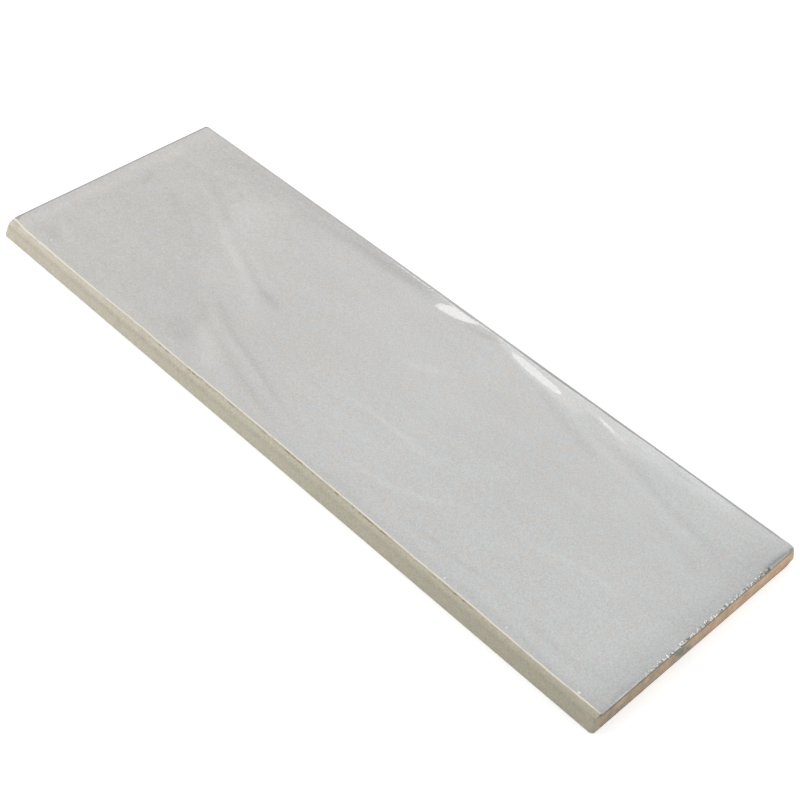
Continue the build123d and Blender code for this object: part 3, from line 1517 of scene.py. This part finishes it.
@dataclass(frozen=True)
class FiredWall:
    """Bare fired body of the walls, with glaze that ran over their tops. Sizes in millimetres."""

    sizes: TileSizes
    glaze: GreyGlaze
    nose: NoseGlaze
    wear: EndWear
    near_light: Colour = srgb(178, 164, 147)
    near_dark: Colour = srgb(137, 127, 111)
    far_light: Colour = srgb(214, 180, 148)
    far_dark: Colour = srgb(184, 160, 134)
    pit: Colour = srgb(120, 104, 90)
    top_line: Colour = srgb(112, 106, 92)
    spill: Colour = srgb(172, 174, 165)
    end_spill: Colour = srgb(142, 141, 126)
    run_tone: Colour = srgb(118, 125, 114)
    scorch: Colour = srgb(122, 98, 74)
    flush: Colour = srgb(206, 152, 130)
    ochre: Colour = srgb(186, 166, 120)
    clouds: Grain = Grain(3.2, warp=0.6)
    flush_share: Ramp = Ramp(0.52, 0.68, 0.0, 0.5)
    ochre_share: Ramp = Ramp(0.32, 0.46, 0.45, 0.0)
    # darker towards the foot of the walls
    foot_darkening: Ramp = Ramp(0.2, 1.4, 0.58, 1.0)
    scorch_rise: Ramp = Ramp(0.4, 2.4, 0.6, 0.0)
    scorch_inset: Pair = (14.0, 3.0)
    top_fall: Ramp = Ramp(0.6, 1.5, 0.8, 0.0)
    top_start: Ramp = Ramp(0.1, 0.3)
    end_skin: Pair = (1.6, 0.8)
    end_overspill: float = 0.15
    end_roll: float = 0.45
    roll_inset: Pair = (18.0, 13.0)
    side_overspill: float = 2.6
    corner_spill: float = 1.0
    corner_inset: Pair = (5.0, 0.5)
    cover_edge: GlazeEdge = GlazeEdge(0.5, 2.5, 0.2)
    nose_edge: GlazeEdge = GlazeEdge(2.0, 3.0, 1.0)
    nose_wrap: float = 2.0
    nose_share: float = 0.8
    run_side: Pair = (0.4, 1.1)
    run_end: Pair = (0.8, 1.1)
    run_mottle: float = 2.6
    run_patches: Ramp = Ramp(0.0, 0.7, 0.35, 0.95)
    polish: Ramp = Ramp(0.0, 1.0, 0.85, 0.2)
    grain_depth: float = 0.06
    grain_strength: float = 0.6

    def at_end(self, finish: FinishMaterial) -> Signal:
        """Mask of the plain end, 1 on its wall."""
        edge = self.sizes.length / 2
        return finish.x.span(edge - self.end_skin[0], edge - self.end_skin[1])

    def near_joint(self, finish: FinishMaterial, insets: Pair, low: float, high: float) -> Signal:
        """A number that changes from low to high between two insets from the joint edge."""
        edge = self.sizes.width / 2
        return finish.y.span(edge - insets[0], edge - insets[1], low, high)

    def clay(self, finish: FinishMaterial) -> tuple[Signal, Signal]:
        """Bare body, paler and more orange towards the joint edge; the paler part partly stands in for the
        right lamp's light, as painted light.

        Args:
            finish: the material that shows it.

        Returns:
            Its colour and the height of its grain.
        """
        half = self.sizes.width / 2
        # paler towards the joint edge: partly the body's own colour, partly painted light from the right lamp
        across = level_ramp(-half, half).of(finish.y)
        light = finish.blend(across, self.near_light, self.far_light)
        dark = finish.blend(across, self.near_dark, self.far_dark)
        body = finish.effect(finish.effects.body, Pit=self.pit, Light=light, Dark=dark)
        patches = self.clouds.raw(finish.position)
        colour = finish.blend(self.flush_share.of(patches), body["Color"], self.flush)
        colour = finish.blend(self.ochre_share.of(patches), colour, self.ochre)
        # darker towards the foot
        colour = colour.scaled(self.foot_darkening.of(finish.z))
        corner = self.near_joint(finish, self.scorch_inset, 0.0, 1.0) * self.scorch_rise.of(finish.z)
        return finish.blend(corner, colour, self.scorch), body["Height"]

    def cover(self, finish: FinishMaterial, drop: Signal) -> Signal:
        """Mask of the glaze that ran over the wall.

        Args:
            finish: the material that shows it.
            drop: distance below the face.

        Returns:
            The mask, 1 where the glaze lies.
        """
        corner = self.near_joint(finish, self.corner_inset, 0.0, self.corner_spill)
        rolled = self.near_joint(finish, self.roll_inset, self.end_overspill, self.end_roll)
        reach = self.at_end(finish).span(0.0, 1.0, self.side_overspill, corner + rolled, Interp.STRAIGHT)
        return self.cover_edge.mask(finish, reach - drop)

    def wrap(self, finish: FinishMaterial) -> Signal:
        """Mask of the nose's glaze where it wraps round onto the end."""
        inside = (self.nose_wrap - self.sizes.width / 2) - finish.y
        return self.nose_edge.mask(finish, inside) * self.nose_share

    def run(self, finish: FinishMaterial, drop: Signal) -> Signal:
        """Mask of the run of glaze down the plain end.

        Args:
            finish: the material that shows it.
            drop: distance below the face.

        Returns:
            The mask, 1 where the run is thick.
        """
        wear = self.wear
        middle = (drop - wear.run_length / 2) * wear.run_lean + wear.run_place
        near = abs(finish.y - middle).span(*(wear.run_width * share for share in self.run_side), 1.0, 0.0)
        above = drop.span(*(wear.run_length * share for share in self.run_end), 1.0, 0.0)
        patches = self.run_patches.of(finish.mottle(self.run_mottle)["Mottle"])
        return near * above * (patches * self.at_end(finish))

    def build(self, effects: TileEffects) -> bpy.types.Material:
        """Makes the material.

        Args:
            effects: the shared node groups.

        Returns:
            The material.
        """
        finish = FinishMaterial("fired_wall", effects)
        drop = self.sizes.thickness - finish.z
        colour, height = self.clay(finish)
        colour = finish.blend(self.top_fall.of(drop) * self.top_start.of(drop), colour, self.top_line)
        colour = finish.blend(self.wrap(finish), colour, self.nose.near)
        colour = finish.blend(self.run(finish, drop), colour, self.run_tone)
        cover = self.cover(finish, drop)
        spill = finish.blend(self.at_end(finish), self.spill, self.end_spill)
        glaze = finish.effect(effects.glaze, Tone=0.0, Warm=spill, Cool=spill)
        colour = finish.blend(cover, colour, glaze["Color"])
        finish.coat(self.glaze.nicks.lay(finish, self.sizes, colour), self.polish.of(cover))
        finish.bump(height, self.grain_depth, self.grain_strength)
        return finish.material


@dataclass(frozen=True)
class KeyedBackClay:
    """Bare fired body of the back, dusted by the kiln."""

    light: Colour = srgb(206, 180, 156)
    dark: Colour = srgb(182, 156, 134)
    pit: Colour = srgb(132, 112, 96)
    dust: Colour = srgb(222, 212, 200)
    dust_size: float = 22.0
    dust_share: float = 0.5
    roughness: float = 0.9
    grain_depth: float = 0.08
    grain_strength: float = 0.7

    def build(self, effects: TileEffects) -> bpy.types.Material:
        """Makes the material.

        Args:
            effects: the shared node groups.

        Returns:
            The material.
        """
        finish = FinishMaterial("keyed_back_clay", effects)
        clay = finish.effect(effects.body, Light=self.light, Dark=self.dark, Pit=self.pit)
        dusty = finish.mottle(self.dust_size)["Mottle"] * self.dust_share
        finish.coat(finish.blend(dusty, clay["Color"], self.dust), self.roughness)
        finish.bump(clay["Height"], self.grain_depth, self.grain_strength)
        return finish.material


@dataclass
class TileSkin:
    """Face, edges and walls of the tile as one grid of points, folded down over its edges.

    Its spacings along and across the tile are in millimetres, and so are the depths to which the face's
    glaze covers the walls.
    """

    sizes: TileSizes
    rings: EdgeRings = EdgeRings()
    shade: RimShade = RimShade()
    along: float = 1.2
    across: float = 0.62
    end_skin: float = 1.0
    end_glaze: float = 0.12
    side_glaze: float = 1.3

    def __post_init__(self) -> None:
        """Numbers the grid's lines and rings, and places its points."""
        sizes, rings = self.sizes, self.rings
        columns = 2 * rings.count + round((sizes.length - 2 * rings.zone) / self.along)
        rows = 2 * rings.count + round((sizes.width - 2 * rings.zone) / self.across)
        self.column, self.row = np.meshgrid(np.arange(columns + 1), np.arange(rows + 1), indexing="ij")
        self.in_x = np.minimum(np.minimum(self.column, columns - self.column), rings.count)
        self.in_y = np.minimum(np.minimum(self.row, rows - self.row), rings.count)
        self.ring = np.minimum(self.in_x, self.in_y)
        self.plain_end = self.column > columns / 2
        self.far_side = self.row > rows / 2
        self.numbers = np.arange(self.column.size).reshape(self.column.shape)
        self.place_points()

    def plan_radius(self, height: np.ndarray) -> np.ndarray:
        """Corner radius in plan of each ring: it grows up the walls, and fades out over the face.

        Args:
            height: heights of the rings above the back.

        Returns:
            Radii, in the same shape.
        """
        sizes, rings = self.sizes, self.rings
        share = height / sizes.thickness
        at_nose = np.where(self.plain_end, sizes.nose_plain_corner.radius(share),
                           sizes.nose_cushion_corner.radius(share))
        at_joint = np.where(self.plain_end, sizes.joint_plain_corner.radius(share),
                            sizes.joint_cushion_corner.radius(share))
        fade = ease(self.ring, rings.count, rings.count - rings.strip)
        return np.where(self.far_side, at_joint, at_nose) * fade

    def fold_corners(self, x_edge: np.ndarray, y_edge: np.ndarray) -> tuple[
            np.ndarray, np.ndarray, np.ndarray]:
        """Bends each ring round the corners of the tile.

        Args:
            x_edge: inset and height of each point by the section of its end.
            y_edge: the same by the section of its long side.

        Returns:
            How far each point lies further in along x and along y, and its share of the end's section.
        """
        zone = self.rings.zone
        left = np.maximum(self.rings.count - self.ring, 1)
        x_off = (zone - x_edge[..., 0]) * (self.in_x - self.ring) / left
        y_off = (zone - y_edge[..., 0]) * (self.in_y - self.ring) / left
        share = np.where(self.in_x > self.in_y, 0.0, np.where(self.in_x < self.in_y, 1.0, 0.5))
        radius = self.plan_radius((x_edge[..., 1] + y_edge[..., 1]) / 2)
        turned = (np.maximum(x_off, y_off) < radius) & (self.ring < self.rings.count)
        back_x, back_y = radius - x_off, radius - y_off
        length = np.maximum(np.hypot(back_x, back_y), TINY)
        share = np.where(turned, np.arctan2(back_x, back_y) / (math.pi / 2), share)
        x_off = np.where(turned, radius - back_x / length * radius, x_off)
        y_off = np.where(turned, radius - back_y / length * radius, y_off)
        return x_off, y_off, share

    def spread(self, extent: float, line: np.ndarray, positive: np.ndarray, inset: np.ndarray) -> np.ndarray:
        """Places along one direction: by their insets in the ringed strips, and evenly between them.

        Args:
            extent: the tile's size in that direction.
            line: numbers of the grid's lines.
            positive: whether each point is on the positive half.
            inset: distances in from the outer wall.

        Returns:
            Places, in the same shape.
        """
        count, zone, last = self.rings.count, self.rings.zone, line.max()
        middle = np.linspace(-extent / 2 + zone, extent / 2 - zone, last - 2 * count + 1)
        side = np.where(positive, 1.0, -1.0) * (extent / 2 - inset)
        even = middle[np.clip(line - count, 0, len(middle) - 1)]
        return np.where(np.minimum(line, last - line) < count, side, even)

    def place_points(self) -> None:
        """Places the grid on the plain tile, and notes the painted shade of its rims."""
        sizes = self.sizes
        sections = EdgeSections(sizes, self.rings)
        nose, cushion, plain = sections.nose(), sections.cushion(), sections.plain()
        x_edge = np.where(self.plain_end[..., None], plain[self.ring], cushion[self.ring])
        y_edge = np.where(self.far_side[..., None], cushion[self.ring], nose[self.ring])
        x_off, y_off, share = self.fold_corners(x_edge, y_edge)
        x = self.spread(sizes.length, self.column, self.plain_end, x_edge[..., 0] + x_off)
        y = self.spread(sizes.width, self.row, self.far_side, y_edge[..., 0] + y_off)
        z = (1.0 - share) * y_edge[..., 1] + share * x_edge[..., 1]
        self.points = np.stack([x, y, z], -1)
        self.on_end = share > 0.5
        self.edge_shade = self.shade_rims(x, share)

    def shade_rims(self, x: np.ndarray, share: np.ndarray) -> np.ndarray:
        """Strength of the painted rim shade, a painted dark reflection where the cushioned edges turn down.

        Args:
            x: places along the tile.
            share: each point's share of the end's section.

        Returns:
            Shares from 0 to 1, in the same shape.
        """
        rings, shade = self.rings, self.shade
        turned = 1.0 - np.clip((self.ring - rings.foot - rings.wall) / rings.bend, 0.0, 1.0)
        along_joint = share + (1.0 - share) * shade.along_joint(x)
        strength = np.where(self.far_side, along_joint, share)
        return ease(turned, *shade.turn) * strength * ease(self.sizes.length / 2 - x, *shade.plain_fade)

    def normals(self) -> np.ndarray:
        """Outward direction at each point, one unit long."""
        outward = np.cross(np.gradient(self.points, axis=0), np.gradient(self.points, axis=1))
        return outward / np.maximum(np.linalg.norm(outward, axis=-1, keepdims=True), TINY)

    def work_surface(self, relief: GlazeRelief, seam: NoseSeam, wear: EndWear, warp: FiringWarp) -> None:
        """Gives the plain grid its glaze relief, seam, chips, run and warp.

        Args:
            relief: unevenness of the glaze.
            seam: line along the nose.
            wear: marks on the plain end.
            warp: how the tile bent in the kiln.
        """
        sizes = self.sizes
        x, y, z = np.moveaxis(self.points, -1, 0)
        self.seam_distance = seam.distance(x, y + sizes.width / 2)
        self.stain = seam.stain(x)
        lift, self.tone = relief.lift(sizes, self.points, self.seam_distance)
        lift += seam.heights(self.seam_distance, sizes.thickness - z)
        lift += wear.heights(sizes, self.points.reshape(-1, 3)).reshape(lift.shape)
        worn = wear.wear_corner(sizes, self.points + self.normals() * lift[..., None])
        self.points = warp.bend(sizes, worn)

    def faces(self) -> np.ndarray:
        """Squares of the grid.

        Returns:
            Rows of four numbers of points.
        """
        numbers = self.numbers
        corners = [numbers[:-1, :-1], numbers[1:, :-1], numbers[1:, 1:], numbers[:-1, 1:]]
        return np.stack(corners, -1).reshape(-1, 4)

    def finishes(self) -> np.ndarray:
        """Finish of each square, as numbers of material slots.

        Returns:
            One number for each square.
        """
        sizes = self.sizes

        def middle(values: np.ndarray) -> np.ndarray:
            """Mean of the four corners of each square."""
            return (values[:-1, :-1] + values[1:, :-1] + values[1:, 1:] + values[:-1, 1:]) / 4

        on_end = middle(self.on_end.astype(float)) > 0.5
        on_nose = (middle(self.seam_distance) < 0.0) & ~on_end
        at_end = middle(self.points[..., 0]) > sizes.length / 2 - self.end_skin
        deep = np.where(at_end, self.end_glaze, self.side_glaze)
        on_edge = middle(self.ring.astype(float)) < self.rings.count
        bare = (sizes.thickness - middle(self.points[..., 2]) > deep) & on_edge
        chosen = np.where(on_nose, Finish.NOSE.value, np.where(bare, Finish.WALL.value, Finish.FACE.value))
        return chosen.ravel()

    def carried(self) -> dict[str, np.ndarray]:
        """Values that the finishes read at each point, by name."""
        return {"seam_mm": self.seam_distance, "seam_stain": self.stain, "glaze_tone": self.tone,
                "edge_shade": self.edge_shade}

    def foot_loop(self) -> list[int]:
        """Points round the foot.

        Returns:
            Their numbers, in order.
        """
        numbers = self.numbers
        loop = [numbers[:-1, 0], numbers[-1, :-1], numbers[:0:-1, -1], numbers[0, :0:-1]]
        return np.concatenate(loop).tolist()


@dataclass(frozen=True)
class KeyedBack:
    """Back of the tile: lands on the bedding plane, with shallow pockets pressed up between them.

    The strip just inside the foot is so many millimetres wide.
    """

    sizes: TileSizes
    corner_steps: int = 5
    rim_strip: float = 3.0

    @staticmethod
    def loop_edges(mesh: bmesh.types.BMesh, loop: list[bmesh.types.BMVert]) -> list[bmesh.types.BMEdge]:
        """Edges of a closed loop of points."""
        return [mesh.edges.get(pair) for pair in zip(loop, loop[1:] + loop[:1])]

    def outline(self, centre: Pair, half: Pair, radius: float, height: float) -> list[Vector]:
        """Rounded rectangle, turning left.

        Args:
            centre: its middle.
            half: its half sizes.
            radius: radius of its corners.
            height: its height above the bedding plane.

        Returns:
            Its points, in metres.
        """
        points = []
        for quarter, (sign_x, sign_y) in enumerate(((1, 1), (-1, 1), (-1, -1), (1, -1))):
            for step in range(self.corner_steps + 1):
                angle = (quarter + step / self.corner_steps) * math.pi / 2
                x = centre[0] + sign_x * (half[0] - radius) + radius * math.cos(angle)
                y = centre[1] + sign_y * (half[1] - radius) + radius * math.sin(angle)
                points.append(Vector((x, y, height)) * MM)
        return points

    def edge_strip(self, mesh: bmesh.types.BMesh, foot: list[bmesh.types.BMVert]) -> tuple[
            list[bmesh.types.BMVert], list[bmesh.types.BMFace]]:
        """Lays a strip of the bedding plane just inside the foot.

        Args:
            mesh: the tile's mesh.
            foot: points round the foot, in order.

        Returns:
            The points of the strip's inner edge, in order, and its faces.
        """
        share_x = 1.0 - 2.0 * self.rim_strip / self.sizes.length
        share_y = 1.0 - 2.0 * self.rim_strip / self.sizes.width
        inner = [mesh.verts.new((point.co.x * share_x, point.co.y * share_y, 0.0)) for point in foot]
        corners = zip(foot, inner, inner[1:] + inner[:1], foot[1:] + foot[:1])
        return inner, [mesh.faces.new(four) for four in corners]

    def pocket(self, mesh: bmesh.types.BMesh, centre: Pair) -> tuple[
            list[bmesh.types.BMVert], list[bmesh.types.BMFace]]:
        """Presses one pocket.

        Args:
            mesh: the tile's mesh.
            centre: middle of the pocket.

        Returns:
            The points round its mouth, in order, and its faces.
        """
        sizes, slope = self.sizes, self.sizes.pocket_slope
        half = (sizes.pocket_length / 2, sizes.pocket_width / 2)
        inner = (half[0] - slope, half[1] - slope)
        wide = self.outline(centre, half, sizes.key_corner, 0.0)
        narrow = self.outline(centre, inner, sizes.key_corner - slope, sizes.key_depth)
        mouth = [mesh.verts.new(point) for point in wide]
        floor = [mesh.verts.new(point) for point in narrow]
        sides = zip(floor, floor[1:] + floor[:1], mouth[1:] + mouth[:1], mouth)
        faces = [mesh.faces.new(corners) for corners in sides]
        faces.append(mesh.faces.new(floor[::-1]))
        return mouth, faces

    def press(self, mesh: bmesh.types.BMesh, foot: list[bmesh.types.BMVert]) -> None:
        """Closes the tile's underside inside its foot.

        Args:
            mesh: the tile's mesh.
            foot: points round the foot, in order.
        """
        sizes = self.sizes
        inner, flat = self.edge_strip(mesh, foot)
        edges = self.loop_edges(mesh, inner)
        pressed = []
        for column in range(sizes.key_columns):
            for row in range(sizes.key_rows):
                x = (column - (sizes.key_columns - 1) / 2) * (sizes.pocket_length + sizes.key_land)
                y = (row - (sizes.key_rows - 1) / 2) * (sizes.pocket_width + sizes.key_land)
                mouth, faces = self.pocket(mesh, (x, y))
                edges += self.loop_edges(mesh, mouth)
                pressed += faces
        filled = bmesh.ops.triangle_fill(mesh, use_beauty=True, edges=edges)
        flat += [item for item in filled["geom"] if isinstance(item, bmesh.types.BMFace)]
        for land in flat:
            land.normal_update()
            if land.normal.z > 0:
                land.normal_flip()
        for face in flat + pressed:
            face.material_index = Finish.BACK.value


@dataclass(frozen=True)
class BullnoseTile:
    """The whole tile: one fired piece with its glaze, walls and back."""

    sizes: TileSizes
    relief: GlazeRelief = GlazeRelief()
    seam: NoseSeam = NoseSeam()
    wear: EndWear = EndWear()
    warp: FiringWarp = FiringWarp()
    crease_deg: float = 38.0

    def build(self) -> bpy.types.Object:
        """Makes the tile's mesh.

        Returns:
            The piece, with no materials yet.
        """
        skin = TileSkin(self.sizes)
        skin.work_surface(self.relief, self.seam, self.wear, self.warp)
        data = bpy.data.meshes.new("tile")
        points = skin.points.reshape(-1, 3) * MM
        data.from_pydata(points.tolist(), [], skin.faces().tolist())
        data.polygons.foreach_set("material_index", skin.finishes().astype(np.int32))
        for name, values in skin.carried().items():
            carried = data.attributes.new(name, "FLOAT", "POINT")
            carried.data.foreach_set("value", values.ravel().astype(np.float32))
        mesh = bmesh.new()
        mesh.from_mesh(data)
        mesh.verts.ensure_lookup_table()
        KeyedBack(self.sizes).press(mesh, [mesh.verts[number] for number in skin.foot_loop()])
        for face in mesh.faces:
            face.smooth = True
        mesh.to_mesh(data)
        mesh.free()
        data.set_sharp_from_angle(angle=math.radians(self.crease_deg))
        piece = bpy.data.objects.new("tile", data)
        bpy.context.scene.collection.objects.link(piece)
        return piece

    def dress(self, piece: bpy.types.Object) -> None:
        """Gives the piece its finishes.

        Args:
            piece: the tile.
        """
        effects = TileEffects()
        glaze = GreyGlaze(self.sizes)
        nose = NoseGlaze(self.sizes)
        finishes = {
            Finish.FACE: glaze,
            Finish.NOSE: nose,
            Finish.WALL: FiredWall(self.sizes, glaze, nose, self.wear),
            Finish.BACK: KeyedBackClay(),
        }
        for finish in Finish:
            piece.data.materials.append(finishes[finish].build(effects))


@dataclass(frozen=True)
class PhotoCamera:
    """Camera at the photograph's viewing angle. Sizes in millimetres, angles in degrees."""

    azimuth: float = 42.66
    elevation: float = 44.94
    roll: float = -4.82
    distance: float = 566.4
    target: tuple[float, float, float] = (12.91, 3.64, 0.0)
    focal_px: float = 1608.6
    clip_start: float = 10.0

    def build(self) -> bpy.types.Object:
        """Makes the camera and puts the scene on it.

        Returns:
            The camera.
        """
        back = heading(self.azimuth, self.elevation)
        roll = math.radians(self.roll)
        right = Vector((0.0, 0.0, 1.0)).cross(back).normalized()
        up = back.cross(right)
        rolled_right = right * math.cos(roll) - up * math.sin(roll)
        rolled_up = right * math.sin(roll) + up * math.cos(roll)
        place = (Vector(self.target) + back * self.distance) * MM
        data = bpy.data.cameras.new("photo_camera")
        data.sensor_width = SENSOR_MM
        data.lens = self.focal_px / IMAGE_SIDE_PX * SENSOR_MM
        data.clip_start = self.clip_start * MM
        camera = bpy.data.objects.new("photo_camera", data)
        turned = Matrix((rolled_right, rolled_up, back)).transposed().to_4x4()
        camera.matrix_world = Matrix.Translation(place) @ turned
        bpy.context.scene.collection.objects.link(camera)
        bpy.context.scene.camera = camera
        return camera


@dataclass(frozen=True)
class SoftBox:
    """A rectangular studio lamp that faces the tile. Sizes in metres, angles in degrees."""

    name: str
    azimuth: float
    elevation: float
    distance: float
    size: Pair
    radiance: float

    def build(self) -> bpy.types.Object:
        """Makes the lamp.

        Returns:
            The lamp.
        """
        away = heading(self.azimuth, self.elevation)
        data = bpy.data.lights.new(self.name, "AREA")
        data.shape = "RECTANGLE"
        data.size, data.size_y = self.size
        data.energy = self.radiance * math.pi * self.size[0] * self.size[1]
        lamp = bpy.data.objects.new(self.name, data)
        lamp.location = away * self.distance
        lamp.rotation_euler = away.to_track_quat("Z", "Y").to_euler()
        bpy.context.scene.collection.objects.link(lamp)
        return lamp


@dataclass(frozen=True)
class Studio:
    """White floor, pale world and soft lamps. Sizes in metres."""

    floor_reach: float = 4.0
    floor_colour: Colour = (0.85, 0.85, 0.85, 1.0)
    floor_glow: float = 0.4
    ambient: float = 0.70
    backdrop: float = 1.0
    lamps: tuple[SoftBox, ...] = (
        SoftBox("left_box", -53.7, 25.8, 1.03, (0.8, 0.6), 2.1),
        SoftBox("right_box", 122.7, 28.4, 0.95, (0.8, 0.6), 1.25),
        SoftBox("sheen_panel", 212.3, 49.2, 2.0, (1.2, 0.9), 0.6),
        SoftBox("rim_strip", 206.5, 32.7, 1.3, (0.48, 0.126), 4.6),
        SoftBox("side_window", 204.5, 39.0, 1.5, (0.32, 0.24), 1.3),
    )

    @staticmethod
    def seen(wiring: Wiring) -> Signal:
        """1 where the camera, a reflection or a transmission looks, and 0 otherwise."""
        path = wiring.outputs("ShaderNodeLightPath", {})
        return path["Is Camera Ray"].or_larger(path["Is Glossy Ray"]).or_larger(path["Is Transmission Ray"])

    def build_floor(self) -> bpy.types.Object:
        """Makes the floor.

        Returns:
            The floor.
        """
        reach = self.floor_reach
        corners = [(-reach, -reach, 0), (reach, -reach, 0), (reach, reach, 0), (-reach, reach, 0)]
        data = bpy.data.meshes.new("floor")
        data.from_pydata(corners, [], [(0, 1, 2, 3)])
        floor = bpy.data.objects.new("floor", data)
        bpy.context.scene.collection.objects.link(floor)
        material = bpy.data.materials.new("studio_floor")
        material.use_nodes = True
        wiring = Wiring(material.node_tree)
        shader = material.node_tree.nodes["Principled BSDF"].inputs
        shader["Base Color"].default_value = self.floor_colour
        shader["Roughness"].default_value = 1.0
        shader["Specular IOR Level"].default_value = 0.0
        shader["Emission Color"].default_value = WHITE
        wiring.feed(shader["Emission Strength"], self.seen(wiring) * self.floor_glow)
        data.materials.append(material)
        return floor

    def build_world(self) -> bpy.types.World:
        """Makes the world: pale light, and plain white where the camera or a reflection sees it.

        Returns:
            The world.
        """
        world = bpy.data.worlds.new("studio_world")
        world.use_nodes = True
        wiring = Wiring(world.node_tree)
        wiring.tree.nodes.clear()
        light = wiring.take("ShaderNodeBackground", {"Color": WHITE, "Strength": self.ambient})
        plain = wiring.take("ShaderNodeBackground", {"Color": WHITE, "Strength": self.backdrop})
        mixed = wiring.take("ShaderNodeMixShader", {0: self.seen(wiring), 1: light, 2: plain})
        wiring.add("ShaderNodeOutputWorld", {"Surface": mixed})
        bpy.context.scene.world = world
        return world

    def build(self) -> None:
        """Makes the whole studio."""
        self.build_floor()
        self.build_world()
        for lamp in self.lamps:
            lamp.build()
        bpy.context.scene.view_settings.view_transform = "Standard"


def main() -> None:
    """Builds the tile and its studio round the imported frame."""
    logging.basicConfig(level=logging.INFO, format="%(name)s %(message)s")
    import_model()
    tile = BullnoseTile(TileSizes.from_frame(NODE))
    piece = tile.build()
    tile.dress(piece)
    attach(piece, "root")
    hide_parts(NODE)
    LOG.info("piece %s: %d points, %d faces", piece.name, len(piece.data.vertices), len(piece.data.polygons))
    studio = Studio()
    studio.build()
    LOG.info("studio: a floor and %d lamps", len(studio.lamps))
    camera = PhotoCamera().build()
    LOG.info("camera: %s", camera.name)


if __name__ == "__main__":
    main()
